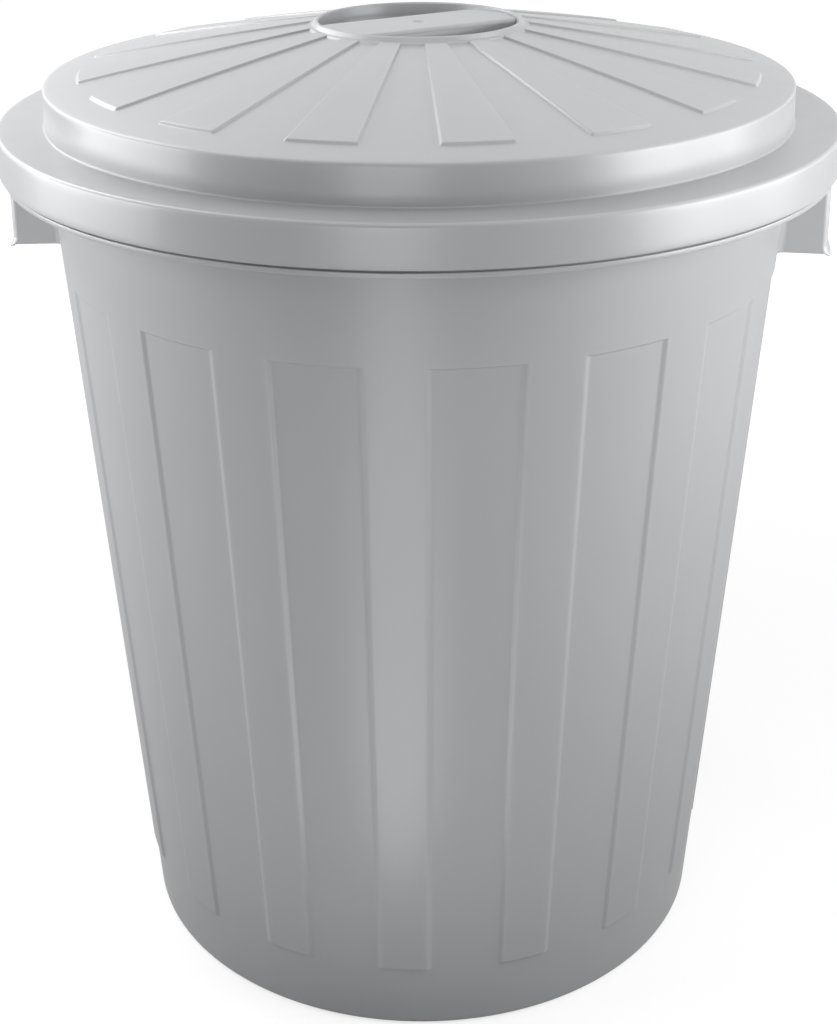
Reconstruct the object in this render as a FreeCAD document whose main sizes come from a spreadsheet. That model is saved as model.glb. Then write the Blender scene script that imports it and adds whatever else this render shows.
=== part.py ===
"""Round tapered plastic bin with a lift-off lid, drawn in millimetres.

The axis of the bin is Z and it stands on Z = 0, with its two side handles on +X and -X.
Both pieces are injection mouldings: a bucket with its rim and handles, and a lid with a
sunk grip. A relief of sixteen fingers hangs round the wall, and sixteen strips run down
the lid.
"""
import FreeCAD, Part
import Sketcher
import os

SIZES = [
    # The bucket's wall, measured on its raised face
    ("wall_foot_radius", 176.8),
    ("wall_rim_radius", 204.9),
    ("rim_height", 496.0),
    ("bucket_wall", 2.4),
    ("wall_relief", 1.4),
    ("finger_foot_height", 43.5),
    ("top_band_height", 76.0),
    ("base_round", 4.0),
    # The floor, set up inside a standing ring
    ("floor_thickness", 2.8),
    ("base_recess", 6.0),
    ("standing_ring_width", 9.0),
    # The out-turned rim and its curtain
    ("rim_thickness", 2.4),
    ("rim_reach", 21.4),
    ("curtain_thickness", 2.4),
    ("curtain_height", 21.0),
    ("curtain_round", 2.0),
    # The side handles, which carry the curtain further down
    ("handle_height", 66.5),
    ("handle_web", 2.6),
    ("handle_flare", 3.6),
    ("handle_flare_height", 9.0),
    # The lid's skirt and flange
    ("lid_wall", 2.2),
    ("lid_seat_clearance", 0.2),
    ("skirt_clearance", 1.5),
    ("skirt_draft_run", 0.6),
    ("skirt_drop", 21.0),
    ("skirt_round", 3.5),
    # The lid's drum and cone, measured between the strips
    ("drum_inset", 1.5),
    ("drum_draft_run", 0.6),
    ("drum_height", 19.8),
    ("drum_round", 2.6),
    ("cone_rise", 27.0),
    ("strip_relief", 1.2),
    ("strip_end_inset", 18.8),
    # The grip: a round lip, a sunk bar and two wells beside it
    ("well_radius", 54.5),
    ("lip_width", 11.5),
    ("well_depth", 29.0),
    ("bar_half_width", 20.5),
    ("bar_sink", 1.0),
    # The reach of cutting tools past a face
    ("overrun", 5.0),
]

ANGLES_AND_COUNTS = [
    ("relief_count", 16),
    ("finger_half_angle", 4.62),
    ("finger_side_angle", 0.72),
    ("strip_half_angle", 5.4),
    ("strip_side_angle", 0.8),
    ("strip_phase", 11.25),
    ("handle_half_angle", 11.3),
    ("bar_angle", 33.75),
    ("lid_turn", 0.6),
]

SHEET = "Sizes"

# An edge counts as found within this share of the bucket's wall
EDGE_MATCH_SHARE = 0.1


def size(name):
    """Expression that reads one cell of the sheet."""
    return f"<<{SHEET}>>.{name}"


def curtain_radius():
    """Outer radius of the rim's curtain."""
    return f"({size('wall_rim_radius')} + {size('rim_reach')})"


def skirt_radius():
    """Outer radius of the lid's skirt at its foot, clear of the curtain inside it."""
    return f"({curtain_radius()} + {size('skirt_clearance')} + {size('lid_wall')})"


def drum_radius():
    """Outer radius of the lid's drum at its top, just inside the bucket's rim."""
    return f"({size('wall_rim_radius')} - {size('drum_inset')})"


def lip_radius():
    """Outer radius of the lip round the lid's finger wells."""
    return f"({size('well_radius')} + {size('lip_width')})"


def make_sheet(doc):
    """Spreadsheet of driving dimensions, one named cell a row."""
    sheet = doc.addObject("Spreadsheet::Sheet", SHEET)
    sheet.Label = SHEET
    for row, (name, value) in enumerate(SIZES + ANGLES_AND_COUNTS, start=1):
        sheet.set(f"A{row}", name)
        sheet.set(f"B{row}", str(value))
        sheet.setAlias(f"B{row}", name)
    doc.recompute()
    return sheet


def origin_feature(body, role):
    """Plane or axis of a body's own origin, found by its role."""
    return next(item for item in body.Origin.OriginFeatures if item.Role == role)


def make_sketch(body, name, role, turn=None, lift=None):
    """Sketch on an origin plane, turned about Z and lifted along it by expressions."""
    sketch = body.newObject("Sketcher::SketchObject", name)
    sketch.AttachmentSupport = [(origin_feature(body, role), "")]
    sketch.MapMode = "FlatFace"
    if turn is not None:
        upright = role == "XZ_Plane"
        axis = FreeCAD.Vector(0, 1, 0) if upright else FreeCAD.Vector(0, 0, 1)
        sketch.AttachmentOffset = FreeCAD.Placement(FreeCAD.Vector(), FreeCAD.Rotation(axis, 1))
        sketch.setExpression("AttachmentOffset.Rotation.Angle", turn)
    if lift is not None:
        sketch.setExpression("AttachmentOffset.Base.z", lift)
    return sketch


def bind_point(sketch, geometry, end, place):
    """Tie one end of a sketch line to an (across, up) pair of expressions."""
    for kind, axis, expression in (("DistanceX", -2, place[0]), ("DistanceY", -1, place[1])):
        if expression == "0":
            sketch.addConstraint(Sketcher.Constraint("PointOnObject", geometry, end, axis))
            continue
        value = float(sketch.evalExpression(expression))
        index = sketch.addConstraint(Sketcher.Constraint(kind, -1, 1, geometry, end, value))
        sketch.setExpression(f"Constraints[{index}]", expression)


def draw_outline(sketch, places):
    """Closed outline of straight lines through (across, up) pairs of expressions."""
    pairs = [[float(sketch.evalExpression(term)) for term in place] for place in places]
    points = [FreeCAD.Vector(across, up, 0) for across, up in pairs]
    count = len(points)
    for index in range(count):
        sketch.addGeometry(Part.LineSegment(points[index], points[(index + 1) % count]), False)
    for index in range(count):
        sketch.addConstraint(Sketcher.Constraint("Coincident", index, 2, (index + 1) % count, 1))
        bind_point(sketch, index, 1, places[index])


def draw_segment(sketch, radius, chord):
    """Outline of a disc's segment: a chord at a height above the centre and the arc over it."""
    reach = float(sketch.evalExpression(radius))
    level = float(sketch.evalExpression(chord))
    half = (reach ** 2 - level ** 2) ** 0.5
    right = FreeCAD.Vector(half, level, 0)
    left = FreeCAD.Vector(-half, level, 0)
    line = sketch.addGeometry(Part.LineSegment(left, right), False)
    arc = sketch.addGeometry(Part.Arc(right, FreeCAD.Vector(0, reach, 0), left), False)
    sketch.addConstraint(Sketcher.Constraint("Coincident", line, 2, arc, 1))
    sketch.addConstraint(Sketcher.Constraint("Coincident", arc, 2, line, 1))
    sketch.addConstraint(Sketcher.Constraint("Coincident", arc, 3, -1, 1))
    sketch.addConstraint(Sketcher.Constraint("Horizontal", line))
    rise = sketch.addConstraint(Sketcher.Constraint("DistanceY", -1, 1, line, 1, level))
    sketch.setExpression(f"Constraints[{rise}]", chord)
    bend = sketch.addConstraint(Sketcher.Constraint("Radius", arc, reach))
    sketch.setExpression(f"Constraints[{bend}]", radius)


def turn_outline(body, kind, name, places, half_angle=None, phase=None):
    """Revolve an (R, Z) outline about Z: the whole way, or a wedge of a half angle."""
    sketch = make_sketch(body, f"{name}_outline", "XZ_Plane", turn=phase)
    draw_outline(sketch, places)
    feature = body.newObject(f"PartDesign::{kind}", name)
    feature.Profile = sketch
    feature.ReferenceAxis = (sketch, ["V_Axis"])
    if half_angle is not None:
        feature.Midplane = True
        feature.setExpression("Angle", f"2 * {half_angle}")
    return feature


def repeat_round(body, name, originals, count):
    """Polar pattern of features about Z."""
    pattern = body.newObject("PartDesign::PolarPattern", name)
    pattern.Originals = originals
    pattern.Axis = (origin_feature(body, "Z_Axis"), [""])
    pattern.Angle = 360
    pattern.setExpression("Occurrences", count)
    body.Tip = pattern
    return pattern


def round_circles(body, name, base, radius, circles):
    """Fillet the full circular edges of a turned solid at (radius, height) places."""
    body.Document.recompute()
    wanted = [tuple(float(base.evalExpression(term)) for term in circle) for circle in circles]
    near = float(base.evalExpression(size("bucket_wall"))) * EDGE_MATCH_SHARE
    edges = []
    for index, edge in enumerate(base.Shape.Edges, start=1):
        if not isinstance(edge.Curve, Part.Circle):
            continue
        found = (edge.Curve.Radius, edge.Curve.Center.z)
        if any(abs(found[0] - r) < near and abs(found[1] - z) < near for r, z in wanted):
            edges.append(f"Edge{index}")
    fillet = body.newObject("PartDesign::Fillet", name)
    fillet.Base = (base, edges)
    fillet.setExpression("Radius", radius)
    return fillet


def wall_at(height, inset="0"):
    """Radius of the wall's raised face at a height, less an inset."""
    foot, rim, top = size("wall_foot_radius"), size("wall_rim_radius"), size("rim_height")
    return f"{foot} + ({rim} - {foot}) * ({height}) / {top} - ({inset})"


def cone_at(radius, raised="0"):
    """Height of the lid's cone at a radius, raised by a step."""
    drum, lip = drum_radius(), lip_radius()
    flange = f"{size('rim_height')} + {size('lid_seat_clearance')} + {size('lid_wall')}"
    climbed = f"{size('cone_rise')} * ({drum} - ({radius})) / ({drum} - {lip})"
    return f"{flange} + {size('drum_height')} + {climbed} + ({raised})"


def make_bucket(doc):
    """Bucket moulding: wall with its relief, floor, rim with curtain, two handles."""
    body = doc.addObject("PartDesign::Body", "bucket")
    body.Label = "bucket"
    wall, relief = size("bucket_wall"), size("wall_relief")
    rim, foot = size("rim_height"), size("finger_foot_height")
    top = f"({rim} - {size('top_band_height')})"
    curtain = curtain_radius()
    under_rim = f"{rim} - {size('rim_thickness')}"
    floor_top = f"{size('base_recess')} + {size('floor_thickness')}"
    curtain_foot = f"{rim} - {size('curtain_height')}"
    curtain_in = f"{curtain} - {size('curtain_thickness')}"
    ring_in = f"{wall_at('0', relief)} - {size('standing_ring_width')}"
    inner_step = f"{top} + {wall}"
    core = f"{relief} + {wall}"

    shell = turn_outline(body, "Revolution", "bucket_shell", [
        ("0", size("base_recess")),
        (ring_in, size("base_recess")),
        (ring_in, "0"),
        (wall_at("0", relief), "0"),
        (wall_at(top, relief), top),
        (wall_at(top), top),
        (wall_at(under_rim), under_rim),
        (curtain_in, under_rim),
        (curtain_in, curtain_foot),
        (curtain, curtain_foot),
        (curtain, rim),
        (wall_at(rim, wall), rim),
        (wall_at(inner_step, wall), inner_step),
        (wall_at(inner_step, core), inner_step),
        (wall_at(floor_top, core), floor_top),
        ("0", floor_top),
    ])
    base_circle = (wall_at("0", relief), "0")
    base_edge = round_circles(body, "base_edge", shell, size("base_round"), [base_circle])
    round_circles(body, "rim_edge", base_edge, size("curtain_round"), [(curtain, rim)])

    # Raised fingers outside, hollow behind so that the wall keeps its thickness
    finger = turn_outline(body, "Revolution", "finger", [
        (wall_at(foot, f"{relief} + {wall} / 2"), foot),
        (wall_at(foot), foot),
        (wall_at(top), top),
        (wall_at(top, f"{relief} + {wall} / 2"), top),
    ], half_angle=size("finger_half_angle"))
    repeat_round(body, "fingers", [finger], size("relief_count"))
    core_foot = f"{foot} + {wall}"
    core_half_angle = f"({size('finger_half_angle')} - {size('finger_side_angle')})"
    hollow = turn_outline(body, "Groove", "finger_hollow", [
        (wall_at(core_foot, f"{core} + {size('overrun')}"), core_foot),
        (wall_at(core_foot, wall), core_foot),
        (wall_at(inner_step, wall), inner_step),
        (wall_at(inner_step, f"{core} + {size('overrun')}"), inner_step),
    ], half_angle=core_half_angle)
    repeat_round(body, "finger_hollows", [hollow], size("relief_count"))

    # Handles: the curtain carried down to a flared grip, and a web at each end of it
    grip_foot = f"{rim} - {size('handle_height')}"
    flare_top = f"{grip_foot} + {size('handle_flare_height')}"
    flare_out = f"{curtain} + {size('handle_flare')}"
    grip = turn_outline(body, "Revolution", "handle_grip", [
        (f"{flare_out} - {size('curtain_thickness')}", grip_foot),
        (flare_out, grip_foot),
        (curtain, flare_top),
        (curtain, f"{curtain_foot} + {size('curtain_thickness')}"),
        (curtain_in, f"{curtain_foot} + {size('curtain_thickness')}"),
        (curtain_in, flare_top),
    ], half_angle=size("handle_half_angle"))
    features = [grip]
    web_top = f"{rim} - {size('rim_thickness')} / 2"
    in_curtain = f"{size('curtain_thickness')} / 2"
    in_wall = f"{wall} / 2"
    for side, name in ((-1, "handle_web_front"), (1, "handle_web_rear")):
        phase = f"{side} * {size('handle_half_angle')}"
        sketch = make_sketch(body, f"{name}_outline", "XZ_Plane", turn=phase)
        draw_outline(sketch, [
            (wall_at(grip_foot, in_wall), grip_foot),
            (f"{flare_out} - {in_curtain}", grip_foot),
            (f"{curtain} - {in_curtain}", flare_top),
            (f"{curtain} - {in_curtain}", web_top),
            (wall_at(web_top, in_wall), web_top),
        ])
        web = body.newObject("PartDesign::Pad", name)
        web.Profile = sketch
        web.setExpression("Length", size("handle_web"))
        web.Reversed = side < 0
        features.append(web)
    repeat_round(body, "handles", features, "2")
    return body


def make_lid(doc):
    """Lid moulding: skirt, flange, drum, cone with raised strips, sunk grip."""
    body = doc.addObject("PartDesign::Body", "lid")
    body.Label = "lid"
    wall, relief = size("lid_wall"), size("strip_relief")
    seat = f"{size('rim_height')} + {size('lid_seat_clearance')}"
    flange = f"{seat} + {wall}"
    drum, lip, skirt = drum_radius(), lip_radius(), skirt_radius()
    drum_top = cone_at(drum)
    drum_foot = f"{drum} + {size('drum_draft_run')}"
    skirt_top = f"{skirt} - {size('skirt_draft_run')}"
    skirt_foot = f"{flange} - {size('skirt_drop')}"
    lip_top = cone_at(lip, relief)
    bar_top = f"{lip_top} - {size('bar_sink')}"

    shell = turn_outline(body, "Revolution", "lid_shell", [
        ("0", bar_top),
        (size("well_radius"), bar_top),
        (size("well_radius"), lip_top),
        (lip, lip_top),
        (lip, cone_at(lip)),
        (drum, drum_top),
        (drum_foot, flange),
        (skirt_top, flange),
        (skirt, skirt_foot),
        (f"{skirt} - {wall}", skirt_foot),
        (f"{skirt_top} - {wall}", seat),
        (f"{drum_foot} - {wall}", seat),
        (f"{drum} - {wall}", f"{drum_top} - {wall}"),
        (lip, cone_at(lip, f"0 - {wall}")),
        (size("well_radius"), f"{bar_top} - {wall}"),
        ("0", f"{bar_top} - {wall}"),
    ])
    drum_edge = round_circles(body, "drum_edge", shell, size("drum_round"), [(drum, drum_top)])
    round_circles(body, "skirt_edge", drum_edge, size("skirt_round"), [(skirt_top, flange)])

    # Raised strips on the cone, hollow behind so that the lid keeps its thickness
    phase = f"{size('strip_phase')} + {size('lid_turn')}"
    strip_end = f"({drum} - {size('strip_end_inset')})"
    strip = turn_outline(body, "Revolution", "strip", [
        (lip, cone_at(lip, f"0 - {wall} / 2")),
        (lip, lip_top),
        (strip_end, cone_at(strip_end, relief)),
        (strip_end, cone_at(strip_end, f"0 - {wall} / 2")),
    ], half_angle=size("strip_half_angle"), phase=phase)
    repeat_round(body, "strips", [strip], size("relief_count"))
    hollow_in = f"{lip} + {wall}"
    hollow_out = f"{strip_end} - {wall}"
    core_half_angle = f"({size('strip_half_angle')} - {size('strip_side_angle')})"
    hollow = turn_outline(body, "Groove", "strip_hollow", [
        (hollow_in, cone_at(hollow_in, f"0 - {wall} - {size('overrun')}")),
        (hollow_in, cone_at(hollow_in, f"{relief} - {wall}")),
        (hollow_out, cone_at(hollow_out, f"{relief} - {wall}")),
        (hollow_out, cone_at(hollow_out, f"0 - {wall} - {size('overrun')}")),
    ], half_angle=core_half_angle, phase=phase)
    repeat_round(body, "strip_hollows", [hollow], size("relief_count"))

    # Finger wells: a cup on each side of the bar, then its inside
    turn = f"{size('bar_angle')} + {size('lid_turn')}"
    well_floor = f"{lip_top} - {size('well_depth')}"
    cup_sketch = make_sketch(body, "well_cup_outline", "XY_Plane", turn, f"{well_floor} - {wall}")
    draw_segment(cup_sketch, f"{size('well_radius')} + {wall}", f"{size('bar_half_width')} - {wall}")
    cup = body.newObject("PartDesign::Pad", "well_cup")
    cup.Profile = cup_sketch
    cup.setExpression("Length", f"{size('well_depth')} - {size('bar_sink')} + {wall} / 2")
    repeat_round(body, "well_cups", [cup], "2")
    well_sketch = make_sketch(body, "well_outline", "XY_Plane", turn, f"{lip_top} + {size('overrun')}")
    draw_segment(well_sketch, size("well_radius"), size("bar_half_width"))
    well = body.newObject("PartDesign::Pocket", "well")
    well.Profile = well_sketch
    well.setExpression("Length", f"{size('well_depth')} + {size('overrun')}")
    repeat_round(body, "wells", [well], "2")
    return body


def check_document(doc, bodies):
    """Stop before anything is written if a feature failed or a shape is not sound."""
    failed = [item.Name for item in doc.Objects if {"Invalid", "Error"} & set(item.State)]
    if failed:
        raise RuntimeError(f"failed features: {failed}")
    for body in bodies:
        shape = body.Shape
        if shape.isNull() or not shape.isValid() or len(shape.Solids) != 1:
            raise RuntimeError(f"{body.Label} is not one sound solid")


def main():
    """Build both mouldings and write one STEP file for each."""
    doc = FreeCAD.newDocument("bin_with_lid")
    make_sheet(doc)
    bodies = [make_bucket(doc), make_lid(doc)]
    doc.recompute()
    for body in bodies:
        body.Placement = FreeCAD.Placement()
    doc.recompute()
    check_document(doc, bodies)
    os.makedirs("parts", exist_ok=True)
    for body in bodies:
        print(f"{body.Label}: {body.Shape.Volume:.0f} cubic mm")
        body.Shape.exportStep(os.path.join("parts", f"{body.Label}.step"))


main()
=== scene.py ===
"""Dress of a grey moulded bin: a tapered bucket with two side handles, and a lift-off lid.

Sizes are millimetres and angles degrees; a mesh is turned into metres as it is put in. The
bin's axis is Z, its handles are on +X and -X, and the photograph looks at it from -Y.
"""

import logging
import math
from dataclasses import dataclass
from enum import Enum

import bpy
import numpy as np
from bpy.types import Material, Node, NodeSocket, NodeTree, Object
from mathutils import Matrix, Vector


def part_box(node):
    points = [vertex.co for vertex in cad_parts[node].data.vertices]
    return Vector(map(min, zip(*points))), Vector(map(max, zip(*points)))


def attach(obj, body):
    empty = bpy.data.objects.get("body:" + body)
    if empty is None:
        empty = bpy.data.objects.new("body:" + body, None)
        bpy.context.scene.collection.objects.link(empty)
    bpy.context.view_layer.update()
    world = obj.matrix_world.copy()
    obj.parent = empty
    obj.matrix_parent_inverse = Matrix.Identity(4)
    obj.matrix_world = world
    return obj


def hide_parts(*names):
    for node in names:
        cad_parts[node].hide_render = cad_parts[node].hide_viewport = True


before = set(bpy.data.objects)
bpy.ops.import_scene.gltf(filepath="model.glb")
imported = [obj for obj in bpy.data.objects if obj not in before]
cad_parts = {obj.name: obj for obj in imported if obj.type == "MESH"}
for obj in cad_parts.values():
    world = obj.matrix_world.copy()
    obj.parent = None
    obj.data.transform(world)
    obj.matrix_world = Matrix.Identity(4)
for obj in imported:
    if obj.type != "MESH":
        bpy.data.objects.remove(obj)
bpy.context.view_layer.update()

Array = np.ndarray
Colour = tuple[float, float, float, float]
MM = 0.001
TINY = 1e-6
WHITE = (1.0, 1.0, 1.0, 1.0)
EDGE_LAYER = "rubbed_edge"
LOG = logging.getLogger("bin")

# Stations across a sloped step, as shares of its width from its middle
STEP_SHARES = np.array([-0.8, -0.5, -0.36, -0.22, -0.08, 0.08, 0.22, 0.36, 0.5, 0.8])
# Even stations give way to a step's own within this many of the step's reaches
STEP_CLEAR = 1.2
# Points on a rounded corner, and how far from it in radii the next piece of outline starts
ARC_POINTS = 7
ARC_CLEAR = 1.5
# Even columns in one period of a relief
RELIEF_COLUMNS = 11.0
# Where a step's edge wear is greatest, and how far it spreads, in step widths
WEAR_PLACE = -0.45
WEAR_SPREAD = 0.3


class Ends(Enum):
    """How the first and last rows of a grid of points are finished."""

    POLES = "each end row shrinks to one point"
    LOOP = "the last row joins the first"


def stations(start: float, stop: float, spacing: float, marks: list[float], step: float) -> Array:
    """Values from start to stop, evenly spaced, with a close cluster across each marked step.

    Args:
        start: First value.
        stop: Last value.
        spacing: Distance between values away from the marks.
        marks: Middle of each sloped step.
        step: Width of a step.

    Returns:
        Sorted values; a marked step replaces the even values that it covers.
    """
    count = max(2, round(abs(stop - start) / spacing) + 1)
    even = np.linspace(start, stop, count)
    middles = np.asarray(marks, float)
    clear = np.abs(even[:, None] - middles).min(axis=1) > STEP_CLEAR * step * STEP_SHARES[-1]
    clear[[0, -1]] = True
    close = (middles[:, None] + step * STEP_SHARES).ravel()
    close = close[(close > min(start, stop)) & (close < max(start, stop))]
    return np.unique(np.r_[even[clear], close])


def rounded_outline(corners: list[tuple[float, float, float]], spacing: float) -> Array:
    """Open outline through corners, each rounded by an arc that touches both of its sides.

    An arc's centre lies on the line that halves the corner, at radius / sin(half angle) from it.

    Args:
        corners: (across, up, radius) of each corner in order.
        spacing: Longest straight piece.

    Returns:
        Points of shape (n, 2).
    """
    places = np.array([corner[:2] for corner in corners], float)
    keys = [places[:1]]
    for index in range(1, len(corners) - 1):
        radius = corners[index][2]
        if radius <= 0.0:
            keys.append(places[index:index + 1])
            continue
        back = places[index - 1] - places[index]
        ahead = places[index + 1] - places[index]
        back = back / np.linalg.norm(back)
        ahead = ahead / np.linalg.norm(ahead)
        half = 0.5 * math.acos(float(np.clip(back @ ahead, -1.0, 1.0)))
        middle = (back + ahead) / np.linalg.norm(back + ahead)
        centre = places[index] + middle * radius / math.sin(half)
        first = back * radius / math.tan(half) + places[index] - centre
        last = ahead * radius / math.tan(half) + places[index] - centre
        sweep = math.pi - 2.0 * half
        share = np.linspace(0.0, 1.0, ARC_POINTS)[:, None]
        arc = np.sin((1.0 - share) * sweep) * first + np.sin(share * sweep) * last
        keys.append(centre + arc / math.sin(sweep))
    keys.append(places[-1:])
    line = np.concatenate(keys)
    lengths = np.linalg.norm(np.diff(line, axis=0), axis=1)
    along = np.r_[0.0, np.cumsum(lengths)]
    pieces = np.maximum(1, np.ceil(lengths / spacing).astype(int))
    ticks = np.repeat(along[:-1], pieces)
    within = np.arange(pieces.sum()) - np.repeat(np.cumsum(pieces) - pieces, pieces)
    ticks = np.append(ticks + within * np.repeat(lengths / pieces, pieces), along[-1])
    return np.c_[np.interp(ticks, along, line[:, 0]), np.interp(ticks, along, line[:, 1])]


def all_round(values: Array, angle: Array) -> Array:
    """Values of a section's points, repeated for the columns of a surface at these angles."""
    return np.repeat(values[:, None], len(angle), axis=1)


def turned(radius: Array, height: Array, angle: Array) -> Array:
    """Points (radius cos angle, radius sin angle, height), for rows and columns of a surface."""
    return np.stack([radius * np.cos(angle), radius * np.sin(angle), height], axis=-1)


def plan_turn(angle: float) -> Array:
    """Matrix that turns rows of (x, y) on its left about Z, by an angle in radians."""
    return np.array([[math.cos(angle), math.sin(angle)], [-math.sin(angle), math.cos(angle)]])


def raise_plan(plan: Array, angle: float, height: Array) -> Array:
    """Points of a plan of shape (rows, columns, 2), turned by an angle in radians, at their heights."""
    height = np.broadcast_to(height, plan.shape[:2])
    return np.concatenate([plan @ plan_turn(angle), height[..., None]], axis=-1)


def put_grid(name: str, grid: Array, ends: Ends, rubbed: Array) -> Object:
    """Put a grid of points in as a closed smooth mesh whose columns join round.

    Quads join each point to the next in its row and in its column. The signed volume, the sum of
    a . (b x c) over the triangles of all faces, tells which way they face, and turns them outwards.

    Args:
        name: Name of the piece.
        grid: Points in millimetres, of shape (rows, columns, 3).
        ends: How the first and last rows are finished.
        rubbed: Share of edge wear at each point, of shape (rows, columns).

    Returns:
        The object, at the origin and linked to the scene.
    """
    capped = ends is Ends.POLES
    kept = slice(1, -1) if capped else slice(None)
    rows, columns = grid[kept].shape[:2]
    index = np.arange(rows * columns).reshape(rows, columns)
    points = grid[kept].reshape(-1, 3) * MM
    worn = np.clip(rubbed[kept], 0.0, 1.0).reshape(-1)
    triangles = np.empty((0, 3), int)
    if capped:
        points = np.r_[points, grid[[0, -1]].mean(axis=1) * MM]
        worn = np.r_[worn, 0.0, 0.0]
        near, far = np.full((2, columns), rows * columns) + [[0], [1]]
        triangles = np.r_[np.c_[near, np.roll(index[0], -1), index[0]],
                          np.c_[far, index[-1], np.roll(index[-1], -1)]]
    else:
        index = np.r_[index, index[:1]]
    after = np.roll(index, -1, axis=1)
    quads = np.stack([index[:-1], after[:-1], after[1:], index[1:]], axis=-1).reshape(-1, 4)
    corner = points[np.r_[quads[:, :3], quads[:, [0, 2, 3]], triangles]]
    volume = np.einsum("ij,ij->", corner[:, 0], np.cross(corner[:, 1], corner[:, 2]))
    if volume < 0.0:
        quads = quads[:, ::-1]
        triangles = triangles[:, ::-1]
    mesh = bpy.data.meshes.new(name)
    mesh.from_pydata(points.tolist(), [], quads.tolist() + triangles.tolist())
    mesh.polygons.foreach_set("use_smooth", np.full(len(mesh.polygons), True))
    layer = mesh.attributes.new(EDGE_LAYER, "FLOAT", "POINT")
    layer.data.foreach_set("value", worn.astype(np.float32))
    mesh.validate()
    mesh.update()
    piece = bpy.data.objects.new(name, mesh)
    bpy.context.scene.collection.objects.link(piece)
    return piece


@dataclass(frozen=True)
class Relief:
    """A raised band with equal fingers hanging from it, all round the axis.

    Attributes:
        count: Number of fingers round the axis.
        half_angle: Half of a finger's angle, to the middle of its sloped side.
        length: Length of a finger from the band's edge to the middle of its sloped end.
        phase: Angle of the first finger's middle.
        slope: Width of the sloped step along a finger.
        slope_angle: Angle of the sloped step at a finger's sides.
        height: Height of the raised face over the sunk one.
    """

    count: int
    half_angle: float
    length: float
    phase: float
    slope: float
    slope_angle: float
    height: float

    def columns(self) -> Array:
        """Angles in radians all round, close together across the fingers' sides."""
        period = 360.0 / self.count
        half = period / 2.0
        sides = [-self.half_angle, self.half_angle]
        local = stations(-half, half, period / RELIEF_COLUMNS, sides, self.slope_angle)[:-1]
        turns = self.phase + period * np.arange(self.count)
        return np.radians((turns[:, None] + local).ravel())

    def step(self, angle: Array, along: Array) -> Array:
        """Distance outside the raised area, in step widths from the middle of its sloped edge.

        A finger's distance is the larger of those past its side and past its end, or their
        root of squares outside a corner. The area's is the lesser of the finger's and the band's.

        Args:
            angle: Angles in radians, of shape (columns,).
            along: Distance from the band's edge towards the fingers' ends, of shape (rows,).

        Returns:
            Distances of shape (rows, columns).
        """
        period = 360.0 / self.count
        off = np.degrees(angle) - self.phase
        off = np.abs((off + period / 2.0) % period - period / 2.0)
        side = (off - self.half_angle) / self.slope_angle
        end = ((along - self.length) / self.slope)[:, None]
        corner = np.hypot(np.maximum(side + 0.5, 0.0), np.maximum(end + 0.5, 0.0)) - 0.5
        finger = np.where((side > -0.5) & (end > -0.5), corner, np.maximum(side, end))
        band = (along / self.slope)[:, None]
        return np.minimum(finger, band)

    def raised(self, angle: Array, along: Array) -> Array:
        """Height over the sunk face: 3 u^2 - 2 u^3 of the full one, u the share up the step."""
        up = np.clip(0.5 - self.step(angle, along), 0.0, 1.0)
        return self.height * up**2 * (3.0 - 2.0 * up)

    def ridge(self, angle: Array, along: Array) -> Array:
        """Share of edge wear, a bell about the break of the raised face over its sloped step."""
        return np.exp(-((self.step(angle, along) - WEAR_PLACE) / WEAR_SPREAD) ** 2)


def add_node(tree: NodeTree, kind: str, inputs: dict[str | int, object], **settings: object) -> Node:
    """Add a shader node.

    Args:
        tree: Node tree to add it to.
        kind: Its type, after the start that all types share.
        inputs: Value of each input, or the socket to link to it, by the input's name or number.
        settings: Values of its properties, which are set before its inputs.

    Returns:
        The node.
    """
    node = tree.nodes.new("ShaderNode" + kind)
    for name, value in settings.items():
        setattr(node, name, value)
    for name, value in inputs.items():
        if isinstance(value, NodeSocket):
            tree.links.new(value, node.inputs[name])
        else:
            node.inputs[name].default_value = value
    return node


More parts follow.
